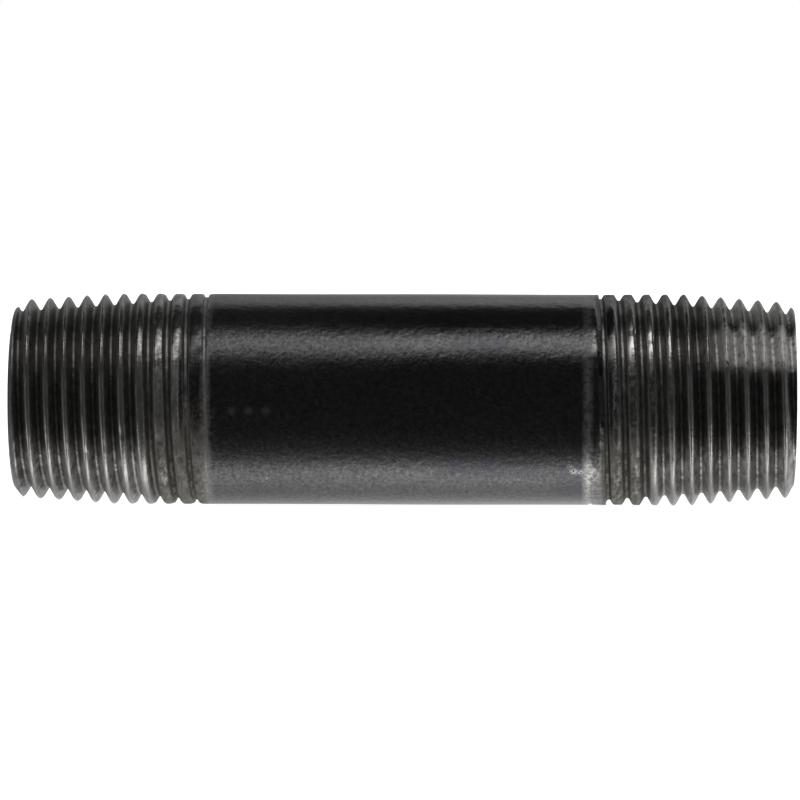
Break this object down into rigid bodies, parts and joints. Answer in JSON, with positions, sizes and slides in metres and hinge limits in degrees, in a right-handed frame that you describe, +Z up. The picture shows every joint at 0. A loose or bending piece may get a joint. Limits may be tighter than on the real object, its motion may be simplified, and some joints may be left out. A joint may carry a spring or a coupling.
{
  "type": "threaded pipe nipple",
  "caption": "Short length of black steel pipe with a tapered external pipe thread on each end, for joining two female-threaded fittings.",
  "frame": {"origin": "on the bore's axis, at the middle of the nipple's length", "axes": "+X along the pipe from one threaded end to the other, +Z up, +Y across the pipe; seen from -Y, +X is to the right"},
  "size_m": [0.0762, 0.0208, 0.0208],
  "materials": {
    "black_steel": "thin near-black lacquer on steel pipe, semi-gloss and lightly mottled, worn to bare grey steel along the thread crests"
  },
  "bodies": {
    "root": {"pipe_nipple": "black_steel"}
  },
  "joints": []
}
